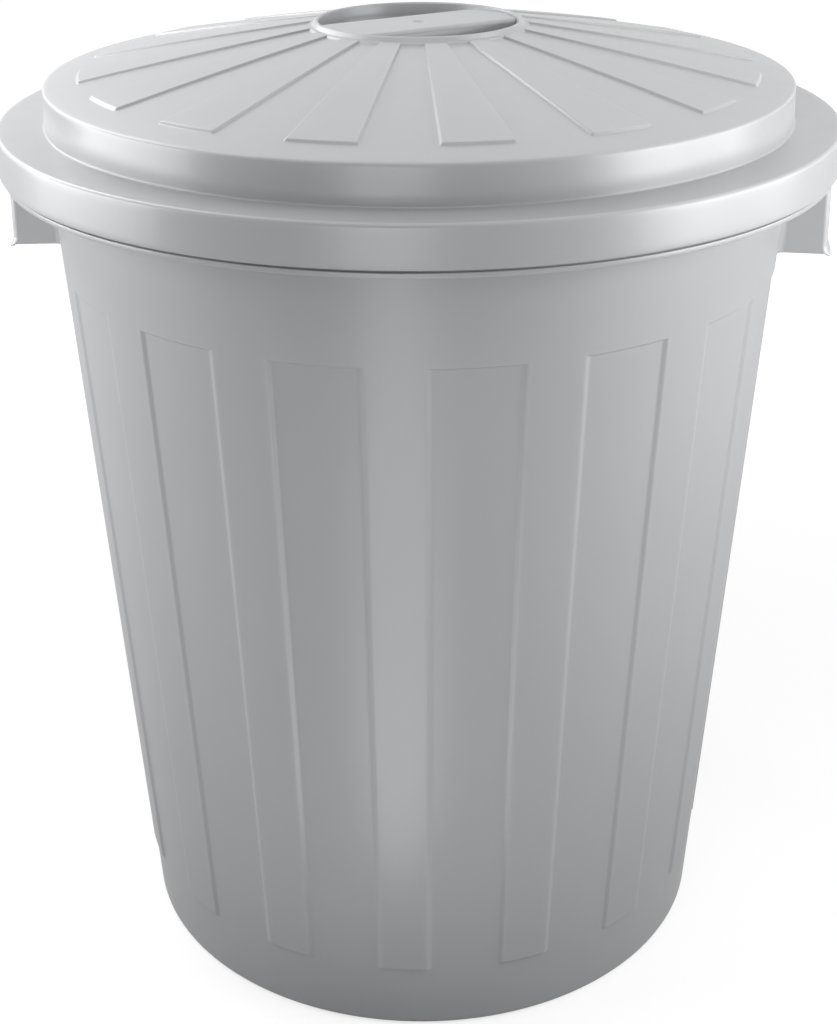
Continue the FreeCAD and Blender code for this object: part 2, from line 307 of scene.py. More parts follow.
@dataclass(frozen=True)
class MouldedPlastic:
    """Grey satin plastic from a polished mould, with flow marks and rubbed edges.

    Scales are counts in a metre, and depths are metres.

    Attributes:
        tone: Colour of most of the plastic.
        cloud: Colour of the paler clouds that the melt leaves.
        worn: Colour of rubbed edges.
        gloss: Roughness where the mould was most polished, and least.
        streak_scale: Scale of the flow streaks, across and along the flow.
        grain_scale: Scale of the mould's grain.
        wave_scale: Scale of the shrunk wall's waves.
        details: Octaves of the clouds, streaks, grain and waves.
    """

    name: str
    tone: Colour
    cloud: Colour
    worn: Colour
    gloss: tuple[float, float] = (0.285, 0.36)
    cloud_scale: float = 9.0
    streak_scale: tuple[float, float] = (70.0, 5.0)
    grain_scale: float = 900.0
    wave_scale: float = 14.0
    grain_depth: float = 0.000008
    wave_depth: float = 0.00008
    details: tuple[float, float, float, float] = (3.0, 2.0, 2.0, 1.0)
    refraction: float = 1.6

    def material(self) -> Material:
        """Build the node tree.

        Clouds and rubbed edges mix the colour, streaks set the roughness, and grain over slow
        waves makes the bump.

        Returns:
            The material.
        """
        material = bpy.data.materials.new(self.name)
        material.use_nodes = True
        tree = material.node_tree
        shader = tree.nodes["Principled BSDF"]
        shader.inputs["IOR"].default_value = self.refraction
        place = add_node(tree, "TexCoord", {}).outputs["Object"]
        across, along = self.streak_scale
        flow = add_node(tree, "Mapping", {"Vector": place, "Scale": (across, across, along)})
        spots = (place, flow.outputs["Vector"], place, place)
        scales = (self.cloud_scale, 1.0, self.grain_scale, self.wave_scale)
        noises = [add_node(tree, "TexNoise", {"Vector": spot, "Scale": scale, "Detail": detail})
                  for spot, scale, detail in zip(spots, scales, self.details)]
        clouds, streaks, grain, waves = (noise.outputs["Fac"] for noise in noises)

        edge = add_node(tree, "Attribute", {}, attribute_name=EDGE_LAYER).outputs["Fac"]
        rub = add_node(tree, "Math", {0: edge, 1: streaks}, operation="MULTIPLY").outputs["Value"]
        tone = self.tone
        for share, other in ((clouds, self.cloud), (rub, self.worn)):
            mix = add_node(tree, "Mix", {"Factor": share, "A": tone, "B": other}, data_type="RGBA")
            tone = mix.outputs["Result"]
        tree.links.new(tone, shader.inputs["Base Color"])

        low, high = self.gloss
        polish = add_node(tree, "MapRange", {"Value": streaks, "To Min": low, "To Max": high})
        tree.links.new(polish.outputs["Result"], shader.inputs["Roughness"])

        slow = add_node(tree, "Bump", {"Strength": 1.0, "Distance": self.wave_depth, "Height": waves})
        fine = add_node(tree, "Bump", {"Strength": 1.0, "Distance": self.grain_depth, "Height": grain})
        tree.links.new(slow.outputs["Normal"], fine.inputs["Normal"])
        tree.links.new(fine.outputs["Normal"], shader.inputs["Normal"])
        return material


def dress(piece: Object, finish: Material, body: str, node: str | None = None) -> None:
    """Give a piece its finish, its body and the solid that it stands for.

    Args:
        piece: The piece.
        finish: Its material.
        body: Body that it rides on.
        node: Solid that it replaces, if any.
    """
    piece.data.materials.append(finish)
    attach(piece, body)
    if node is not None:
        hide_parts(node)
    LOG.info("%s: %d faces on %s", piece.name, len(piece.data.polygons), body)


def worn_rows(outline: Array) -> Array:
    """Share of edge wear along a closed section: its outward bend in a millimetre, at most one.

    The bend at a point is the sine of the turn between the sides that meet there, over half of
    their length. The section's signed area tells which turns are outward.

    Args:
        outline: (across, up) points of the section, of shape (n, 2).

    Returns:
        Shares of shape (n,).
    """
    ahead = np.roll(outline, -1, axis=0) - outline
    back = np.roll(ahead, 1, axis=0)
    reach = np.maximum(np.linalg.norm(ahead, axis=1), TINY)
    before = np.roll(reach, 1)
    turn = (back[:, 0] * ahead[:, 1] - back[:, 1] * ahead[:, 0]) / (before * reach)
    area = np.sum(outline[:, 0] * ahead[:, 1] - outline[:, 1] * ahead[:, 0])
    return np.clip(math.copysign(2.0, area) * turn / (before + reach), 0.0, 1.0)


@dataclass
class Bucket:
    """The bucket moulding: wall with its relief, floor, rim with curtain, and two handles."""

    rim_height: float
    foot_radius: float = 176.8
    rim_radius: float = 204.9
    wall: float = 2.4
    wall_spacing: float = 24.0
    rim_spacing: float = 3.0
    top_band: float = 76.0
    finger_foot: float = 43.5
    finger_half_angle: float = 4.62
    finger_count: int = 16
    relief_height: float = 1.4
    relief_slope: float = 1.4
    relief_slope_angle: float = 1.0
    base_round: float = 4.0
    floor_thickness: float = 2.8
    floor_fillet: float = 5.0
    base_recess: float = 6.0
    ring_width: float = 9.0
    rim_thickness: float = 2.4
    rim_reach: float = 21.4
    rim_fillet: float = 2.0
    curtain_thickness: float = 2.4
    curtain_height: float = 22.9
    # The bead round the curtain's foot, under the lid's skirt: its reach and its height
    foot_bead: tuple[float, float] = (1.4, 2.7)
    curtain_round: float = 2.0
    edge_round: float = 0.7
    handle_height: float = 66.5
    handle_half_angle: float = 11.3
    handle_web: float = 2.6
    handle_flare: float = 2.4
    handle_flare_height: float = 5.5
    handle_lean: float = 1.2
    handle_corner: float = 3.6
    handle_foot_lift: tuple[float, float] = (0.9, 1.6)
    root_fillet: float = 5.0
    root_depth: float = 1.5
    # Where the handle's plate takes over from the curtain, one face dips just under the other
    plate_dip: float = 0.03
    curtain_tuck: float = 0.3
    tuck_height: float = 6.0
    tuck_angles: tuple[float, float] = (7.5, 9.8)
    # How the flare grows towards the foot, and how a web's points close up towards its root
    flare_power: float = 1.6
    web_power: float = 1.5
    # Points along a web, round a corner and along the plate, and down and round its section
    web_points: int = 16
    corner_points: int = 8
    plate_points: int = 31
    side_points: int = 10
    foot_points: int = 5
    body: str = "bucket"
    slot: str = "bucket_plastic"

    @property
    def relief(self) -> Relief:
        """The wall's relief, whose fingers hang down from the top band."""
        return Relief(self.finger_count, self.finger_half_angle, self.top - self.finger_foot, 0.0,
                      self.relief_slope, self.relief_slope_angle, self.relief_height)

    @property
    def top(self) -> float:
        """Height of the lower edge of the raised band."""
        return self.rim_height - self.top_band

    @property
    def curtain_radius(self) -> float:
        """Outer radius of the curtain."""
        return self.rim_radius + self.rim_reach

    def wall_at(self, height: Array | float) -> Array | float:
        """Radius of the raised face, which grows in proportion to height."""
        return self.foot_radius + (self.rim_radius - self.foot_radius) * height / self.rim_height

    def build(self, finish: Material) -> None:
        """Build and dress the shell and both handles.

        Args:
            finish: Material of the whole moulding.
        """
        dress(self.shell(), finish, self.body, "bucket")
        for name, turn in (("handle_right", 0.0), ("handle_left", math.pi)):
            dress(self.handle(name, turn), finish, self.body)

    def shell(self) -> Object:
        """Wall, floor and rim as one closed surface, from the underside's middle to the floor's.

        Each row is a circle at a radius and height of the section. On the wall's rows the radius
        falls by the depth of the relief; the inner face is the outer one moved in by the wall.

        Returns:
            The shell.
        """
        angle = self.relief.columns()
        sunk = self.relief_height
        low = ARC_CLEAR * self.base_round
        high = self.rim_height - self.rim_thickness - ARC_CLEAR * self.rim_fillet
        floor_top = self.base_recess + self.floor_thickness
        ring_in = self.wall_at(0.0) - sunk - self.ring_width
        curtain, top, small = self.curtain_radius, self.rim_height, self.edge_round
        curtain_in = curtain - self.curtain_thickness
        curtain_foot = top - self.curtain_height
        under_rim = top - self.rim_thickness
        bead_out = curtain + self.foot_bead[0]
        bead_top = curtain_foot + self.foot_bead[1]

        under = rounded_outline([
            (0.0, self.base_recess, 0.0),
            (ring_in, self.base_recess, small),
            (ring_in, 0.0, small),
            (self.wall_at(0.0) - sunk, 0.0, self.base_round),
            (self.wall_at(low) - sunk, low, 0.0),
        ], self.wall_spacing)
        marks = [self.finger_foot, self.top]
        heights = stations(low, high, self.wall_spacing, marks, self.relief_slope)
        outer = np.c_[self.wall_at(heights), heights][1:]
        rim = rounded_outline([
            (self.wall_at(high), high, 0.0),
            (self.wall_at(under_rim), under_rim, self.rim_fillet),
            (curtain_in, under_rim, self.rim_fillet),
            (curtain_in, curtain_foot, small),
            (bead_out, curtain_foot, small),
            (bead_out, bead_top, small),
            (curtain, bead_top, small),
            (curtain, top, self.curtain_round),
            (self.wall_at(top) - self.wall, top, small),
            (self.wall_at(high) - self.wall, high, 0.0),
        ], self.rim_spacing)[1:]
        foot = floor_top + ARC_CLEAR * self.floor_fillet
        inside = stations(foot, high, self.wall_spacing, marks, self.relief_slope)
        inner = np.c_[self.wall_at(inside) - self.wall, inside][::-1][1:]
        deep = self.wall_at(floor_top) - self.wall - sunk
        floor = rounded_outline([
            (inner[-1, 0] - sunk, inner[-1, 1], 0.0),
            (deep, floor_top, self.floor_fillet),
            (0.0, floor_top, 0.0),
        ], self.wall_spacing)[1:]

        section = np.r_[under, outer, rim, inner, floor]
        radius = all_round(section[:, 0], angle)
        rubbed = all_round(worn_rows(section), angle)
        start = len(under)
        for rows in (slice(start, start + len(outer)), slice(-len(floor) - len(inner), -len(floor))):
            along = self.top - section[rows, 1]
            radius[rows] += self.relief.raised(angle, along) - sunk
            rubbed[rows] = self.relief.ridge(angle, along)
        edge = slice(start + len(outer), start + len(outer) + len(rim))
        radius[edge] = self.tucked(section[edge], angle)
        height = all_round(section[:, 1], angle)
        return put_grid("bucket_shell", turned(radius, height, angle), Ends.POLES, rubbed)

    def tucked(self, section: Array, angle: Array) -> Array:
        """Radii of the rim's rows, with the curtain thinned where a handle's plate covers it.

        Behind a handle the bead runs out, and both faces of the curtain draw towards its middle,
        fading out upwards and towards the handle's ends.

        Args:
            section: (radius, height) of the rim's rows.
            angle: Angles in radians of the columns.

        Returns:
            Radii of shape (rows, columns).
        """
        middle = self.curtain_radius - self.curtain_thickness / 2.0
        off = np.degrees(np.abs((angle + math.pi / 2.0) % math.pi - math.pi / 2.0))
        near, far = self.tuck_angles
        zone = np.clip((far - off) / (far - near), 0.0, 1.0)
        fade = np.clip((self.rim_height - self.tuck_height - section[:, 1]) / self.tuck_height, 0.0, 1.0)
        flush = np.minimum(section[:, 0], self.curtain_radius)
        fade = np.where(np.abs(flush - middle) <= self.curtain_thickness / 2.0 + TINY, fade, 0.0)
        share = 2.0 * self.curtain_tuck / self.curtain_thickness
        draw = share * fade[:, None] * zone
        radius = section[:, :1] + (flush - section[:, 0])[:, None] * zone
        return radius + (middle - radius) * draw

    def handle(self, name: str, turn: float) -> Object:
        """One handle: a web, a plate and a web, as a thin section carried along a U in plan.

        In plan each web lies along a ray from the axis, an arc rounds it into the plate, and the
        plate is an arc about the axis. Towards its foot the plate's radius grows by the flare.

        Args:
            name: Name of the piece.
            turn: Angle in radians of the handle's middle.

        Returns:
            The handle.
        """
        foot = self.rim_height - self.handle_height
        section = self.handle_section(foot)
        side, height = section[:, 0], section[:, 1]
        low = np.clip(1.0 - (height - foot) / self.handle_flare_height, 0.0, 1.0)
        free = self.handle_height - self.curtain_height
        down = np.clip((self.rim_height - self.curtain_height - height) / free, 0.0, 1.0)
        flare = self.handle_flare * low ** self.flare_power
        outside = self.curtain_radius - self.plate_dip + self.handle_lean * down + flare
        plate = outside - self.curtain_thickness / 2.0
        bend = self.handle_corner - self.handle_web / 2.0
        offset = -self.handle_web / 2.0 - bend
        reach = np.sqrt((plate - bend) ** 2 - offset ** 2)
        lean = np.arctan2(-offset, reach)
        root = self.wall_at(height) - self.root_depth

        web = np.linspace(0.0, 1.0, self.web_points)[:, None] ** self.web_power
        web_along = root + (reach - root) * web
        web_points = np.stack([web_along, np.full_like(web_along, offset + bend)], axis=-1)
        web_normals = np.broadcast_to([0.0, 1.0], web_points.shape)
        gone = np.linspace(0.0, 1.0, self.corner_points + 1)[1:]
        swing = gone[:, None] * (math.pi / 2.0 + lean)
        corner_normals = np.stack([np.sin(swing), np.cos(swing)], axis=-1)
        centre = np.stack([reach, np.full_like(reach, offset)], axis=-1)
        corner_points = centre + bend * corner_normals
        half = math.radians(self.handle_half_angle)
        ray = plan_turn(half)
        side_points = np.r_[web_points, corner_points] @ ray
        side_normals = np.r_[web_normals, corner_normals] @ ray
        sweep = np.linspace(1.0, -1.0, self.plate_points + 2)[1:-1, None] * (half - lean)
        plate_normals = np.stack([np.cos(sweep), np.sin(sweep)], axis=-1)
        plate_points = plate[:, None] * plate_normals
        mirror = np.array([1.0, -1.0])
        points = np.r_[side_points, plate_points, side_points[::-1] * mirror]
        normals = np.r_[side_normals, plate_normals, side_normals[::-1] * mirror]

        clear = np.clip(np.linalg.norm(points, axis=-1) - self.wall_at(height), 0.0, self.root_fillet)
        swell = self.root_fillet - np.sqrt(self.root_fillet ** 2 - (self.root_fillet - clear) ** 2)
        flank = np.full(len(side_points), self.handle_web)
        thick = np.r_[flank, np.full(self.plate_points, self.curtain_thickness), flank]
        half_thick = thick[:, None] / 2.0 + swell
        plan = points + (side * half_thick)[..., None] * normals
        between = np.ones(self.plate_points + 2 * self.corner_points)
        share = np.r_[web[:, 0], between, web[::-1, 0]]
        gone = np.r_[np.zeros(len(web)), gone]
        gone = np.r_[gone, np.ones(self.plate_points), gone[::-1]]
        near, far = self.handle_foot_lift
        lift = (near + (far - near) * share) * (1.0 - gone * gone * (3.0 - 2.0 * gone))
        grid = raise_plan(plan, turn, height + lift[:, None] * low)
        grid = np.r_[grid[:1], grid, grid[-1:]]
        worn = worn_rows(section * [self.handle_web / 2.0, 1.0])
        rubbed = np.broadcast_to(worn, grid.shape[:2])
        return put_grid(name, grid, Ends.POLES, rubbed)

    def handle_section(self, foot: float) -> Array:
        """Upright section of a handle: (side, height) down its inner face and up its outer one.

        Side runs from -1 on the inner face to 1 on the outer face. The foot's corners are round.

        Args:
            foot: Height of the handle's foot.

        Returns:
            Points of shape (n, 2), closed by the top edge inside the rim.
        """
        top = self.rim_height - self.rim_thickness / 2.0
        round_share = 2.0 * self.edge_round / self.handle_web
        flare_top = foot + self.handle_flare_height
        heights = np.r_[np.linspace(top, flare_top, self.side_points)[:-1],
                        np.linspace(flare_top, foot + self.edge_round, self.side_points)]
        swing = np.linspace(0.0, math.pi / 2.0, self.foot_points + 1)[1:]
        turn_side = -1.0 + round_share * (1.0 - np.cos(swing))
        turn_height = foot + self.edge_round * (1.0 - np.sin(swing))
        side = np.r_[np.full(len(heights), -1.0), turn_side]
        down = np.c_[side, np.r_[heights, turn_height]]
        return np.r_[down, down[::-1] * [-1.0, 1.0]]


@dataclass
class Lid:
    """The lid moulding: skirt, flange, drum, cone with strips, and a grip bar between two wells."""

    skirt_radius: float
    skirt_foot: float
    lip_top: float
    wall: float = 2.2
    skirt_height: float = 21.0
    skirt_draft: float = 0.6
    skirt_round: float = 2.0
    skirt_inner_round: float = 1.0
    edge_round: float = 0.7
    drum_radius: float = 203.4
    drum_height: float = 19.8
    drum_draft: float = 0.6
    drum_round: float = 1.6
    drum_fillet: float = 1.0
    strip_count: int = 16
    strip_half_angle: float = 5.4
    strip_phase: float = 11.85
    strip_relief: float = 1.2
    strip_slope: float = 1.6
    strip_slope_angle: float = 0.55
    strip_end_inset: float = 18.8
    # Rows of the cone start inside the lip by a share of a step, and stop short of the drum's round
    cone_start: float = 0.6
    cone_stop: float = 2.5
    cone_spacing: float = 14.0
    lip_spacing: float = 2.0
    rim_spacing: float = 3.0
    cone_dome: float = 0.6
    lip_radius: float = 60.0
    lip_rise: float = 1.9
    lip_round: float = 1.2
    # The lip's bead: its height over the top, and where its crest and its foot end
    bead: tuple[float, float, float] = (0.6, 1.8, 3.6)
    lip_drop: float = 6.0
    well_radius: float = 54.5
    well_depth: float = 29.0
    well_corner: float = 2.0
    well_overlap: float = 0.3
    well_fillet: float = 8.0
    well_draft: float = 10.0
    well_spacing: float = 4.0
    # Width of the section's floor, in fillet radii
    well_floor: float = 1.2
    # Points across the floor, along the well's arc, round its corners and along its chord
    floor_points: int = 6
    arc_points: int = 61
    corner_points: int = 12
    chord_points: int = 23
    # Most of the room inside a well's outline that its wall and fillet may take
    room_share: float = 0.55
    # A visible face stands this much before the one that carries on behind it
    face_step: float = 0.02
    # Corner of a face that another face carries on: so small that the face shades flat
    hidden_round: float = 0.05
    bar_angle: float = 34.35
    bar_half_width: float = 20.5
    bar_sink: float = 1.0
    bar_thickness: float = 6.2
    bar_round: float = 2.8
    bar_end_radius: float = 55.6
    # Spacing of the bar's points across its top, round its sides, and along it as a share of half
    bar_spacing: tuple[float, float, float] = (3.0, 4.0, 0.05)
    gate_radius: float = 3.0
    gate_depth: float = 0.8
    gate_stub: float = 0.9
    gate_edge: float = 0.25
    # Width of the gate's close points, in gate radii
    gate_step: float = 0.6
    body: str = "lid"
    slot: str = "lid_plastic"

    @property
    def strips(self) -> Relief:
        """The strips, which run out from the lip as fingers do from a band."""
        length = self.drum_radius - self.strip_end_inset - self.lip_radius
        return Relief(self.strip_count, self.strip_half_angle, length, self.strip_phase,
                      self.strip_slope, self.strip_slope_angle, self.strip_relief)

    @property
    def flange(self) -> float:
        """Height of the flange's upper face."""
        return self.skirt_foot + self.skirt_height

    @property
    def drum_top(self) -> float:
        """Height at which the cone would meet the drum's side."""
        return self.flange + self.drum_height

    @property
    def lip_base(self) -> float:
        """Height of the strips' faces where they meet the lip."""
        return self.lip_top - self.lip_rise

    def cone_at(self, radius: Array | float) -> Array | float:
        """Height of the cone between strips, level inside the lip, with a slight parabolic dome."""
        climb = self.lip_base - self.strip_relief - self.drum_top
        width = self.drum_radius - self.lip_radius
        share = (self.drum_radius - np.maximum(radius, self.lip_radius)) / width
        return self.drum_top + climb * share + 4.0 * self.cone_dome * share * (1.0 - share)

    def lean_at(self, height: float) -> float:
        """How far the wells' sides lean in at a height, from none at the lip's top."""
        return (self.lip_top - height) * math.tan(math.radians(self.well_draft))

    def build(self, finish: Material) -> None:
        """Build and dress the shell, the grip bar and both wells.

        Args:
            finish: Material of the whole moulding.
        """
        dress(self.shell(), finish, self.body, "lid")
        dress(self.bar(), finish, self.body)
        for name, turn in (("finger_well_front", -90.0), ("finger_well_rear", 90.0)):
            dress(self.well(name, self.bar_angle + turn), finish, self.body)

    def shell(self) -> Object:
        """Lip, cone, drum, flange and skirt as one closed section turned about the axis.

        The section runs out along the upper face and back along the lower one. On the cone's rows
        the height rises by the strips' relief; the lower face is the upper one let down by the wall.

        Returns:
            The shell.
        """
        angle = self.strips.columns()
        inside = self.well_radius - self.face_step
        lip_foot = self.lip_top - self.lip_drop
        bead, crest, bead_foot = self.bead
        slope = self.strip_slope
        start = self.lip_radius - self.cone_start * slope
        stop = self.drum_radius - self.cone_stop * self.drum_round
        end = self.drum_radius - self.strip_end_inset
        wall, small = self.wall, self.edge_round
        seat = self.flange - wall
        brink = float(self.cone_at(stop))
        collar_out = self.well_radius + wall
        collar_middle = self.well_radius + wall / 2.0
        drum_foot = self.drum_radius + self.drum_draft
        skirt_top = self.skirt_radius - self.skirt_draft

        lip = rounded_outline([
            (collar_middle, lip_foot, 0.0),
            (inside - self.lean_at(lip_foot), lip_foot, self.hidden_round),
            (inside, self.lip_top + bead, self.lip_round),
            (inside + crest, self.lip_top + bead, self.lip_round),
            (inside + bead_foot, self.lip_base, self.lip_round),
            (start, self.lip_base, 0.0),
        ], self.lip_spacing)
        radii = stations(start, stop, self.cone_spacing, [self.lip_radius, end], slope)
        upper = np.c_[radii, self.cone_at(radii)][1:]
        rim = rounded_outline([
            (stop, brink, 0.0),
            (self.drum_radius, self.drum_top, self.drum_round),
            (drum_foot, self.flange, self.drum_fillet),
            (skirt_top, self.flange, self.skirt_round),
            (self.skirt_radius, self.skirt_foot, small),
            (self.skirt_radius - wall, self.skirt_foot, small),
            (skirt_top - wall, seat, self.skirt_inner_round),
            (drum_foot - wall, seat, small),
            (self.drum_radius - wall, self.drum_top - wall, small),
            (stop, brink - wall, 0.0),
        ], self.rim_spacing)[1:]
        lower = np.c_[radii, self.cone_at(radii) - wall][::-1][1:]
        collar = rounded_outline([
            (start, self.lip_base - wall, 0.0),
            (collar_out, self.lip_base - wall, small),
            (collar_out, lip_foot, self.hidden_round),
            (collar_middle, lip_foot, 0.0),
        ], self.lip_spacing)[1:-1]

        section = np.r_[lip, upper, rim, lower, collar]
        height = all_round(section[:, 1], angle)
        rubbed = all_round(worn_rows(section), angle)
        first = len(lip)
        last = first + len(upper) + len(rim)
        for rows in (slice(first, first + len(upper)), slice(last, last + len(lower))):
            along = section[rows, 0] - self.lip_radius
            height[rows] += self.strips.raised(angle, along)
            rubbed[rows] = self.strips.ridge(angle, along)
        radius = all_round(section[:, 0], angle)
        return put_grid("lid_shell", turned(radius, height, angle), Ends.LOOP, rubbed)

    def bar(self) -> Object:
        """Grip bar: a flat round-edged section carried across the wells, with the gate's mark.

        A section point at n from the bar's middle runs to plus and minus sqrt(R^2 - n^2) along it,
        so that the ends follow the lip. The gate's mark is a round dip with a stub in its middle.

        Returns:
            The bar.
        """
        half = self.bar_half_width + self.face_step
        top = self.lip_top - self.bar_sink
        foot = top - self.bar_thickness
        flat = half - 2.0 * self.bar_round
        top_spacing, side_spacing, along_spacing = self.bar_spacing
        gate = np.array([-self.gate_radius, 0.0, self.gate_radius])
        close = self.gate_step * self.gate_radius
        across = stations(-flat, flat, top_spacing, gate, close)
        face = np.c_[across, np.full(len(across), top)]
        right = rounded_outline([
            (across[-1], top, 0.0),
            (half + self.lean_at(top), top, self.bar_round),
            (half + self.lean_at(foot), foot, self.hidden_round),
            (0.0, foot, 0.0),
        ], side_spacing)[1:]
        left = (right[::-1] * [-1.0, 1.0])[1:-1]
        section = np.r_[face, right, left]
        reach = np.sqrt(self.bar_end_radius ** 2 - section[:, 0] ** 2)
        scale = self.bar_end_radius
        along = stations(-1.0, 1.0, along_spacing, gate / scale, close / scale)[:, None] * reach
        span = np.broadcast_to(section[:, 0], along.shape)
        away = np.hypot(span, along)
        dip = self.gate_depth / (1.0 + np.exp((away - self.gate_radius) / self.gate_edge))
        stub = self.gate_depth * np.exp(-(away / self.gate_stub) ** 4)
        height = np.broadcast_to(section[:, 1], along.shape)
        height = height + np.where(height > top - TINY, stub - dip, 0.0)
        grid = raise_plan(np.stack([along, -span], axis=-1), math.radians(self.bar_angle), height)
        grid = np.r_[grid[:1], grid, grid[-1:]]
        rubbed = np.broadcast_to(worn_rows(section), grid.shape[:2])
        return put_grid("grip_bar", grid, Ends.POLES, rubbed)

    def well(self, name: str, direction: float) -> Object:
        """One finger well: a dish whose section is carried round a D with rounded corners.

        Each row is the D moved outwards by an offset and shrunk towards its middle by a share,
        at a height: out across the floor, up the wall, over its edge, and back underneath. So that
        no row crosses itself, a move inwards by d is made d / (1 + (d / r)^4)^(1/4), with r a share
        of the room inside the D at that point.

        Args:
            name: Name of the piece.
            direction: Angle in degrees from the axis to the middle of the well.

        Returns:
            The well.
        """
        outline, normals = self.well_outline()
        middle = np.array([(self.bar_half_width + self.well_radius) / 2.0, 0.0])
        floor = self.lip_top - self.well_depth
        edge = self.lip_top - self.lip_drop + self.well_overlap
        thick = self.wall - self.face_step
        brim = -self.lean_at(edge)
        foot = -self.lean_at(floor)
        spread = np.linspace(0.0, 1.0, self.floor_points, endpoint=False)
        section = rounded_outline([
            (foot - self.well_floor * self.well_fillet, floor, 0.0),
            (foot, floor, self.well_fillet),
            (brim, edge, self.hidden_round),
            (brim + thick, edge, self.hidden_round),
            (foot + thick, floor - self.wall, self.well_fillet + thick),
            (foot - self.well_floor * self.well_fillet, floor - self.wall, 0.0),
        ], self.well_spacing)
        share = np.r_[spread, np.ones(len(section)), spread[::-1]]
        offset, height = np.pad(section, ((self.floor_points, self.floor_points), (0, 0)), "edge").T
        room = self.room_share * self.room_inside(outline, normals)
        inward = np.maximum(-offset, 0.0)[:, None] / room
        moved = outline + (offset[:, None] / (1.0 + inward**4) ** 0.25)[..., None] * normals
        plan = middle + share[:, None, None] * (moved - middle)
        grid = raise_plan(plan, math.radians(direction), height[:, None])
        return put_grid(name, grid, Ends.POLES, np.zeros(grid.shape[:2]))

    @staticmethod
    def room_inside(outline: Array, normals: Array) -> Array:
        """Radius of the largest disc inside a closed outline that touches it at each of its points.

        The disc that touches at p and passes through q has radius |p - q|^2 / (2 n . (p - q)), with
        n the outward normal at p. The least of these over all q is the room there.

        Args:
            outline: Points of shape (n, 2).
            normals: Outward normals of the same shape.

        Returns:
            Radii of shape (n,).
        """
        gap = outline[:, None] - outline
        ahead = np.einsum("ijk,ik->ij", gap, normals)
        radius = (gap ** 2).sum(axis=-1) / np.maximum(2.0 * ahead, TINY)
        return np.where(ahead > TINY, radius, np.inf).min(axis=1)

    def well_outline(self) -> tuple[Array, Array]:
        """Outline of a well in plan, a segment of a disc with round corners, and its normals.

        The segment shrunk by the corner's radius has its two corners where the smaller arc meets
        the moved chord. An arc about the axis, a corner's arc and the chord follow each other.

        Returns:
            Points and outward normals, both of shape (n, 2), with the well's middle along +X.
        """
        small = self.well_radius - self.well_corner
        chord = self.bar_half_width + self.well_corner
        limit = math.acos(chord / small)
        depth = math.sqrt(small ** 2 - chord ** 2)
        wide = np.linspace(-limit, limit, self.arc_points)
        upper = np.linspace(limit, math.pi, self.corner_points + 1)[1:]
        normals = np.c_[np.cos(wide), np.sin(wide)]
        arc = self.well_radius * normals
        bend = np.c_[np.cos(upper), np.sin(upper)]
        corner = [chord, depth] + self.well_corner * bend
        line = np.linspace(depth, -depth, self.chord_points + 2)[1:-1]
        straight = np.c_[np.full(len(line), self.bar_half_width), line]
        facing = np.broadcast_to([-1.0, 0.0], straight.shape)
        flip = np.array([1.0, -1.0])
        points = np.r_[arc, corner, straight, corner[::-1] * flip]
        return points, np.r_[normals, bend, facing, bend[::-1] * flip]


@dataclass(frozen=True)
class PhotoCamera:
    """The camera at the photograph's viewing angle, from the ellipses of the rim and lid.

    Lengths are metres and angles degrees.
    """

    distance: float = 0.9451
    height: float = 0.7039
    azimuth: float = 3.40
    pitch: float = 25.647
    yaw: float = 0.092
    roll: float = 0.323
    lens: float = 59.65
    sensor: float = 36.0

    def place(self) -> None:
        """Add the camera: rolled about its view, tilted up from straight down, and turned about Z."""
        data = bpy.data.cameras.new("photo_camera")
        data.lens = self.lens
        data.sensor_width = self.sensor
        camera = bpy.data.objects.new("photo_camera", data)
        bpy.context.scene.collection.objects.link(camera)
        turn = Matrix.Rotation(math.radians(self.azimuth), 4, "Z")
        spin = Matrix.Rotation(math.radians(self.azimuth + self.yaw), 4, "Z")
        tilt = Matrix.Rotation(math.radians(90.0 - self.pitch), 4, "X")
        roll = Matrix.Rotation(math.radians(-self.roll), 4, "Z")
        stand = Matrix.Translation(turn @ Vector((0.0, -self.distance, self.height)))
        camera.matrix_world = stand @ spin @ tilt @ roll
        bpy.context.scene.camera = camera


class Facing(Enum):
    """What a soft light is turned towards."""

    BIN = "the bin's axis"
    UP = "the ceiling"


@dataclass(frozen=True)
class SoftBox:
    """A soft light, a rectangle or, facing up, an ellipse, in metres, degrees and watts.

    Attributes:
        azimuth: Angle about Z, none in front and growing to the right.
        elevation: Angle above the floor, from the aim.
        distance: Distance from the aim.
        aim_height: Height on the axis from which it is placed, and which it faces.
    """

    name: str
    azimuth: float
    elevation: float
    distance: float
    width: float
    height: float
    power: float
    aim_height: float = 0.42
    facing: Facing = Facing.BIN

    def place(self) -> None:
        """Add the light, turned as it should be; one that faces up has its height along a ray."""
        data = bpy.data.lights.new(self.name, "AREA")
        data.shape = "ELLIPSE" if self.facing is Facing.UP else "RECTANGLE"
        data.size = self.width
        data.size_y = self.height
        data.energy = self.power
        light = bpy.data.objects.new(self.name, data)
        bpy.context.scene.collection.objects.link(light)
        turn, rise = math.radians(self.azimuth), math.radians(self.elevation)
        back = Vector((math.sin(turn) * math.cos(rise), -math.cos(turn) * math.cos(rise), math.sin(rise)))
        light.visible_camera = False
        light.location = Vector((0.0, 0.0, self.aim_height)) + back * self.distance
        if self.facing is Facing.UP:
            light.rotation_euler = (math.pi, 0.0, turn)
        else:
            light.rotation_euler = (-back).to_track_quat("-Z", "Y").to_euler()


